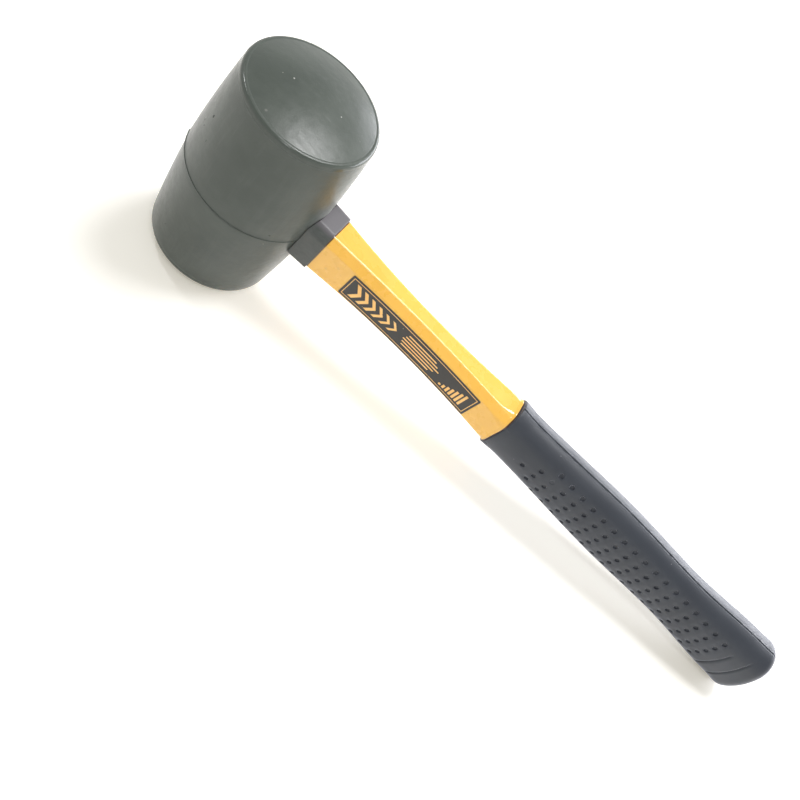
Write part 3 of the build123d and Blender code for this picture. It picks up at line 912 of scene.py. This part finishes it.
def butt_rings(ring_size):
    """Rings from the last wall station round the rim and in over the tilted, crowned face."""
    ball = Vector((HANDLE_REACH - BUTT_CROWN_RADIUS * cos(BUTT_FACE_TILT), 0,
                   -BUTT_CROWN_RADIUS * sin(BUTT_FACE_TILT)))
    columns = []
    for j in range(ring_size):
        low, high = BUTT_FROM, HANDLE_REACH
        for _ in range(24):
            x = (low + high) / 2
            (y, z), way, rise = sleeve_ring(x)[j]
            rim_centre = Vector((x, y, z)) - outward(x, way) * BUTT_RIM_RADIUS
            if (rim_centre - ball).length < BUTT_CROWN_RADIUS - BUTT_RIM_RADIUS:
                low = x
            else:
                high = x
        column = []
        for i in range(1, 4):
            station = BUTT_FROM + (x - BUTT_FROM) * i / 4
            column.append(sleeve_point(station, sleeve_ring(station)[j]))
        start, end = outward(x, way), (rim_centre - ball).normalized()
        for i in range(BUTT_RIM_STEPS + 1):
            lift = seam_height(x, z > 0) * rise * (1 - i / BUTT_RIM_STEPS) if rise else 0.0
            column.append(tuple(rim_centre + start.slerp(end, i / BUTT_RIM_STEPS) * (BUTT_RIM_RADIUS + lift)))
        edge = Vector(column[-1])
        for share in BUTT_FACE_RINGS:
            y, z = edge.y * share, edge.z * share
            column.append((ball.x + sqrt(BUTT_CROWN_RADIUS**2 - y * y - (z - ball.z) ** 2), y, z))
        columns.append(column)
    return [list(ring) for ring in zip(*columns)]


def snapped_octagon(half_width, half_height, corner, ring):
    """An octagon as a ring of as many points as the given one, with its corners kept exact."""
    outline = []
    for y, z in ring:
        reach = min(half_width / max(abs(y), 1e-9), half_height / max(abs(z), 1e-9),
                    (half_width + half_height - corner) / (abs(y) + abs(z)))
        outline.append((y * reach, z * reach))
    for sy, sz in ((1, 1), (-1, 1), (-1, -1), (1, -1)):
        for w, h in ((half_width, half_height - corner), (half_width - corner, half_height)):
            y, z = sy * w, sz * h
            near = min(range(len(outline)), key=lambda i: hypot(outline[i][0] - y, outline[i][1] - z))
            outline[near] = (y, z)
    return outline


def cavity_rings(ring):
    """Rings of the hollow inside: the neck's end in the lip, then the shank down to its bevelled end."""
    step, floor = SLEEVE_START + LIP_OVERLAP + BOND_GAP, HANDLE_REACH - BUTT_WALL + BOND_GAP
    rings = [(x, THROAT[1] + BOND_GAP, THROAT[2] + BOND_GAP, NECK_CHAMFER) for x in (SLEEVE_START, step)]
    for x in [step] + [SLEEVE_START + LIP_OVERLAP + 8 + 9 * i for i in range(17)] + [floor - SHANK_BEVEL]:
        w, h = sleeve_size(x)
        rings.append((x, w - SIDE_COVER + BOND_GAP, h - TOP_COVER + BOND_GAP, SHANK_CHAMFER))
    x, w, h, corner = rings[-1]
    rings.append((floor, w - SHANK_BEVEL, h - SHANK_BEVEL, corner))
    return [section(x, snapped_octagon(w, h, corner, ring)) for x, w, h, corner in rings]


def dimple(points, loop, cx, cz, side, depth, size):
    """Adds the points of one round dimple to the wall, inside the loop round its cell, and gives
    its faces."""
    start, after = [atan2(points[k][2] - cz, points[k][0] - cx) for k in loop[:2]]
    faces = []
    for radius, share in DIMPLE_RINGS:
        ring = list(range(len(points), len(points) + len(loop)))
        for turn in range(len(loop)):
            a = start + (2 * pi * turn / len(loop)) * (1 if after > start else -1)
            x, z = cx + radius * size * cos(a), cz + radius * size * sin(a)
            y, way = oval_side(x, z)
            push = outward(x, (side * way[0], way[1]))
            points.append((x - push.x * depth * share, side * y - push.y * depth * share,
                           z - push.z * depth * share))
        for k in range(len(loop)):
            m = (k + 1) % len(loop)
            faces.append((loop[k], loop[m], ring[m], ring[k]))
        loop = ring
    return faces + [tuple(loop)]


def sleeve_mesh():
    lines, first = wall_lines()
    outline = [spot[0] for spot in sleeve_ring(SLEEVE_START)]
    n = len(outline)
    rings = cavity_rings(outline)[::-1]
    for turn in (0, 30, 60):
        x = SLEEVE_START + LIP_ROUNDING * (1 - cos(radians(turn)))
        sink = LIP_ROUNDING * (1 - sin(radians(turn)))
        rings.append([sleeve_point(x, spot, sink) for spot in sleeve_ring(x)])
    first += len(rings)
    rings += [[sleeve_point(x, spot) for spot in sleeve_ring(x)] for x in lines + [BUTT_FROM]]
    rings += butt_rings(n)
    points, faces, taken = [p for ring in rings for p in ring], [], set()
    noise.seed_set(7)
    steps = range(CELL_STEPS)
    border = [(a, 0) for a in steps] + [(CELL_STEPS, b) for b in steps]
    border += [(CELL_STEPS - a, CELL_STEPS) for a in steps] + [(0, CELL_STEPS - b) for b in steps]
    far_side = DIMPLE_ROWS * CELL_STEPS + 1 + 2 * (END_STEPS - 1) + len(SEAM_LINES)
    for column in range(DIMPLE_COLUMNS):
        for row in range(DIMPLE_ROWS):
            for side, start in ((-1, 0), (1, far_side)):
                if not dimple_at(column, row):
                    continue
                i0 = first + column * CELL_STEPS
                j0 = start + (row if side < 0 else DIMPLE_ROWS - 1 - row) * CELL_STEPS
                taken.update((i0 + a, j0 + b) for a in steps for b in steps)
                loop = [(i0 + a) * n + j0 + b for a, b in border]
                luck = noise.random_vector()
                depth = DIMPLE_DEPTH * (1 + UNEVEN_DEPTH * luck.x)
                if (column, row, side) == SHALLOW_DIMPLE:
                    depth *= SHALLOW_SHARE
                cx = DIMPLES_FROM + CELL_LENGTH * (column + 0.5)
                cz = CELL_HEIGHT * (row - DIMPLE_ROWS // 2)
                faces += dimple(points, loop, cx, cz, side, depth, 1 + UNEVEN_SIZE * luck.y)
    return points, faces + tube(rings, left_out=taken)[1]


GRIP_BLACK = ((0.021, 0.025, 0.034), (0.033, 0.039, 0.051))
GRIP_SHEEN = (0.85, 0.88, 1.0, 1.0)
GRIP_DUST = (0.20, 0.20, 0.21)


def grip_rubber():
    material, tree, surface = new_material("grip_rubber", Sheen_Weight=0.95, Sheen_Roughness=0.30,
                                           Sheen_Tint=GRIP_SHEEN)
    colour = blend(tree, effect(tree, MOTTLE, Size=22.0, Contrast=1.5), *GRIP_BLACK)
    colour = blend(tree, effect(tree, SPECKS, Spacing=4.0, Size=0.2, Share=0.2), colour, GRIP_DUST)
    patches = effect(tree, MOTTLE, Size=8.0, Contrast=2.0)
    fill(surface, Base_Color=colour, Roughness=ranged(tree, patches, 0.42, 0.54))
    grained(tree, surface, depth=0.07, strength=0.5, Size=0.45, Ripple=4.0, Ripple_Share=0.55)
    return material


grip = new_piece("grip_sleeve_shape", *sleeve_mesh(), sharp_angle=38)
grip.data.materials.append(grip_rubber())
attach(grip, "root")
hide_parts("grip_sleeve")


# Label: a dark foil glued along one side of the neck, with a generic pattern of arrowheads,
# pinstripes and rising bars printed on it in thin raised ink.

LABEL_FROM = 52.5
LABEL_TO = 123.7
LABEL_HALF_HEIGHT = 6.6
LABEL_GLUE = 0.02
LABEL_THICKNESS = 0.15
LABEL_FRONT = LABEL_GLUE + LABEL_THICKNESS
LABEL_CORNER = 0.6
LABEL_PITCH = 1.5
INK = 0.02
PRINT_HALF_HEIGHT = 5.6
PRINT_MARGIN = 1.0
PRINT_LINE = 0.3
FOIL_BLACK = ((0.014, 0.013, 0.012), (0.027, 0.025, 0.023))
FOIL_DUST = (0.42, 0.34, 0.24)
INK_ORANGE = ((0.93, 0.50, 0.13), (0.96, 0.60, 0.22))
INK_WORN = (0.10, 0.07, 0.05)


def label_outline():
    """Outline (x, z) of the foil, a long strip with rounded corners."""
    corners = ((LABEL_FROM, -LABEL_HALF_HEIGHT, 180), (LABEL_TO, -LABEL_HALF_HEIGHT, 270),
               (LABEL_TO, LABEL_HALF_HEIGHT, 0), (LABEL_FROM, LABEL_HALF_HEIGHT, 90))
    outline = []
    for x, z, start in corners:
        cx = x + (LABEL_CORNER if x == LABEL_FROM else -LABEL_CORNER)
        cz = z + (LABEL_CORNER if z < 0 else -LABEL_CORNER)
        for i in range(5):
            a = radians(start + 90 * i / 4)
            outline.append((cx + LABEL_CORNER * cos(a), cz + LABEL_CORNER * sin(a)))
    return outline


def strip_piece(name, shapes, back, front):
    """Flat shapes (outlines in x, z) made into one thin skin. It is cut across in short steps, so
    that it bends with the neck's side."""
    flat = bmesh.new()
    for outline in shapes:
        flat.faces.new([flat.verts.new((x, 0.0, z)) for x, z in outline])
    bmesh.ops.remove_doubles(flat, verts=flat.verts, dist=1e-4)
    steps = int((LABEL_TO - LABEL_FROM) / LABEL_PITCH)
    for i in range(1, steps):
        x = LABEL_FROM + (LABEL_TO - LABEL_FROM) * i / steps
        bmesh.ops.bisect_plane(flat, geom=flat.verts[:] + flat.edges[:] + flat.faces[:],
                               plane_co=(x, 0, 0), plane_no=(1, 0, 0), dist=1e-5)
    bmesh.ops.recalc_face_normals(flat, faces=flat.faces)
    for face in flat.faces:
        if face.normal.y > 0:
            face.normal_flip()
    backs = bmesh.ops.extrude_face_region(flat, geom=flat.faces[:])["geom"]
    moved = {v for v in backs if isinstance(v, bmesh.types.BMVert)}
    for v in flat.verts:
        v.co.y = -(neck_size(v.co.x)[0] + (front if v in moved else back))
    bmesh.ops.recalc_face_normals(flat, faces=flat.faces)
    flat.transform(LAID_DOWN)
    mesh = bpy.data.meshes.new(name)
    flat.to_mesh(mesh)
    flat.free()
    smooth(mesh, 30)
    return in_scene(name, mesh)


def bar(left, right, low, high):
    return [(left, low), (right, low), (right, high), (left, high)]


def framed(left, right, low, high, line):
    """The four mitred bars of a thin frame."""
    outer, inner = bar(left, right, low, high), bar(left + line, right - line, low + line, high - line)
    return [[outer[i - 1], outer[i], inner[i], inner[i - 1]] for i in range(4)]


def arrowhead(x, half, width, point):
    """A bold arrowhead that points along the handle."""
    return [(x, -half), (x + width, -half), (x + width + point, 0.0), (x + width, half), (x, half),
            (x + point, 0.0)]


def printed_shapes():
    """A thin frame, six arrowheads that shrink, pinstripes past the waist, and rising bars."""
    shapes = framed(LABEL_FROM + PRINT_MARGIN, LABEL_TO - PRINT_MARGIN, -PRINT_HALF_HEIGHT,
                    PRINT_HALF_HEIGHT, PRINT_LINE)
    shapes += [arrowhead(x=56.0 + 4.0 * i, half=4.2 - 0.25 * i, width=1.9 - 0.1 * i, point=2.6)
               for i in range(6)]
    for z in (3.2, 1.6, 0.0, -1.6, -3.2):
        start = 83.5 + 0.4 * abs(z)
        shapes.append(bar(start, start + (20.5 - abs(z) * 1.6), low=z - 0.32, high=z + 0.32))
    starts = [107.2 + 1.85 * i for i in range(7)]
    return shapes + [bar(x, x + 1.15, low=-4.2, high=-3.2 + 1.05 * i) for i, x in enumerate(starts)]


def label_material(name, colours, worn_colour, worn, patch, contrast, rough, depth, **shader):
    """Foil or ink: cloudy colours, worn through in specks."""
    material, tree, surface = new_material(name, **shader)
    clouds = effect(tree, MOTTLE, Size=patch, Contrast=contrast)
    specks = effect(tree, SPECKS, **worn)
    fill(surface, Base_Color=blend(tree, specks, blend(tree, clouds, *colours), worn_colour),
         Roughness=ranged(tree, clouds, *rough))
    grained(tree, surface, depth, strength=0.5, Size=0.6, Ripple=7.0, Ripple_Share=0.8)
    return material


label = strip_piece("side_label_shape", [label_outline()], LABEL_GLUE, LABEL_FRONT)
label.data.materials.append(label_material(
    "label_foil", FOIL_BLACK, FOIL_DUST, {"Spacing": 3.0, "Size": 0.16, "Share": 0.12},
    patch=12.0, contrast=1.8, rough=(0.28, 0.42), depth=0.08, IOR=1.5))
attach(label, "root")
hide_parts("side_label")

ink = strip_piece("label_print", printed_shapes(), LABEL_FRONT, LABEL_FRONT + INK)
ink.data.materials.append(label_material(
    "label_ink", INK_ORANGE, INK_WORN, {"Spacing": 1.6, "Size": 0.2, "Share": 0.3},
    patch=9.0, contrast=2.2, rough=(0.30, 0.45), depth=0.04))
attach(ink, "root")


# Floor: a plain pale sweep of paper under the mallet, which keeps its soft shadow. Its faint glow
# rises to plain white far away, and is seen in the picture and in glossy surfaces only.

FLOOR_COLOUR = (0.86, 0.855, 0.84)
FLOOR_CLOUDED = tuple(c * 0.985 for c in FLOOR_COLOUR)
FLOOR_GLOW = (1.0, 0.925, 0.72, 1.0)
NEAR_GLOW = 0.29
FAR_GLOW = 1.0
NEAR_GLOW_TO = 0.45
FAR_GLOW_FROM = 1.6
FLOOR_HALF = 3.0
FLOOR_TILES = 24


def emptied(owner):
    """The node tree of a material or world, with nothing in it."""
    owner.use_nodes = True
    owner.node_tree.nodes.clear()
    return owner.node_tree


def paper():
    material = bpy.data.materials.new("paper")
    tree = emptied(material)
    clouds = effect(tree, MOTTLE, Size=120.0, Contrast=1.0)
    matt = node(tree, "ShaderNodeBsdfDiffuse", Color=blend(tree, clouds, FLOOR_COLOUR, FLOOR_CLOUDED))
    away = node(tree, "ShaderNodeVectorMath", {"operation": "LENGTH"}, i0=here(tree)).outputs["Value"]
    strength = ranged(tree, away, NEAR_GLOW, FAR_GLOW, NEAR_GLOW_TO, FAR_GLOW_FROM,
                      interpolation_type="SMOOTHSTEP")
    glow = node(tree, "ShaderNodeEmission", Color=FLOOR_GLOW, Strength=strength)
    both = node(tree, "ShaderNodeAddShader", i0=matt.outputs[0], i1=glow.outputs[0])
    ray = node(tree, "ShaderNodeLightPath").outputs
    seen = maths(tree, "MAXIMUM", ray["Is Camera Ray"], ray["Is Glossy Ray"])
    pick = node(tree, "ShaderNodeMixShader", i0=seen, i1=matt.outputs[0], i2=both.outputs[0])
    node(tree, "ShaderNodeOutputMaterial", Surface=pick.outputs[0])
    return material


def paper_floor():
    rows = range(FLOOR_TILES + 1)
    across = [-FLOOR_HALF + 2 * FLOOR_HALF * i / FLOOR_TILES for i in rows]
    corners = [i * len(rows) + j for i in rows[:-1] for j in rows[:-1]]
    tiles = [(c, c + len(rows), c + len(rows) + 1, c + 1) for c in corners]
    mesh = bpy.data.meshes.new("floor")
    mesh.from_pydata([(x, y, 0.0) for x in across for y in across], [], tiles)
    mesh.materials.append(paper())
    return in_scene("floor", mesh)


paper_floor()


# Studio: a white cove that fades into a dim ceiling, with four soft lamps: a round one overhead, a
# wide low one behind the handle, like a window, which lights the far edges, and weak ones in front
# and at the left.

COVE = 1.0
CEILING = 0.30
COVE_TOP = sin(radians(20.0))
CEILING_FROM = sin(radians(42.0))
LAMP_AIM = Vector((0.0, 0.0, 0.04))

# Each lamp's name, azimuth, elevation, distance, width, height, watts and colour.
LAMPS = (("overhead", 62.0, 71.0, 1.2, 0.46, 0.46, 11.6, (1.0, 1.0, 1.0)),
         ("window", 56.0, 14.0, 1.6, 2.0, 0.6, 28.0, (0.93, 0.94, 1.0)),
         ("front", -75.0, 62.0, 1.2, 0.22, 0.22, 2.0, (1.0, 1.0, 1.0)),
         ("left", 168.0, 45.0, 1.2, 0.12, 0.12, 2.0, (1.0, 1.0, 1.0)))


def lamp(name, azimuth, elevation, distance, width, height, watts, colour):
    """A soft lamp that looks at the mallet from a compass direction and height."""
    light = bpy.data.lights.new(name, "AREA")
    light.shape, light.size, light.size_y = "ELLIPSE", width, height
    light.energy, light.color = watts, colour
    around, up = radians(azimuth), radians(elevation)
    way = Vector((cos(up) * cos(around), cos(up) * sin(around), sin(up)))
    stand = in_scene(name, light)
    stand.location = LAMP_AIM + way * distance
    stand.rotation_euler = (-way).to_track_quat("-Z", "Y").to_euler()


def surround():
    """The cove as the lamps' fill light, and plain white as the background."""
    world = bpy.data.worlds.new("surround")
    bpy.context.scene.world = world
    tree = emptied(world)
    way = node(tree, "ShaderNodeTexCoord").outputs["Generated"]
    height = node(tree, "ShaderNodeSeparateXYZ", Vector=way).outputs["Z"]
    fade = ranged(tree, height, COVE, CEILING, COVE_TOP, CEILING_FROM, interpolation_type="SMOOTHSTEP")
    light, white = [node(tree, "ShaderNodeBackground", Color=(1, 1, 1, 1), Strength=strength)
                    for strength in (fade, 1.0)]
    seen = node(tree, "ShaderNodeLightPath").outputs["Is Camera Ray"]
    pick = node(tree, "ShaderNodeMixShader", i0=seen, i1=light.outputs[0], i2=white.outputs[0])
    node(tree, "ShaderNodeOutputWorld", Surface=pick.outputs[0])


surround()
for each in LAMPS:
    lamp(*each)


# Camera: above the head's near side, looking down along the handle. It stands in metres and is
# turned in degrees, and its small shift only frames the mallet.

CAMERA_PLACE = (-0.06989, -0.23160, 0.27787)
CAMERA_TURN = (30.1751, -28.6911, 30.4659)
CAMERA_SHIFT = (-0.0047, -0.0051)
FOCAL_LENGTH = 36.884
SENSOR_WIDTH = 36.0

lens = bpy.data.cameras.new("camera")
lens.lens, lens.sensor_width = FOCAL_LENGTH, SENSOR_WIDTH
lens.shift_x, lens.shift_y = CAMERA_SHIFT
camera = in_scene("camera", lens)
camera.location = CAMERA_PLACE
camera.rotation_euler = [radians(turn) for turn in CAMERA_TURN]
bpy.context.scene.camera = camera
bpy.context.scene.view_settings.view_transform = "Standard"
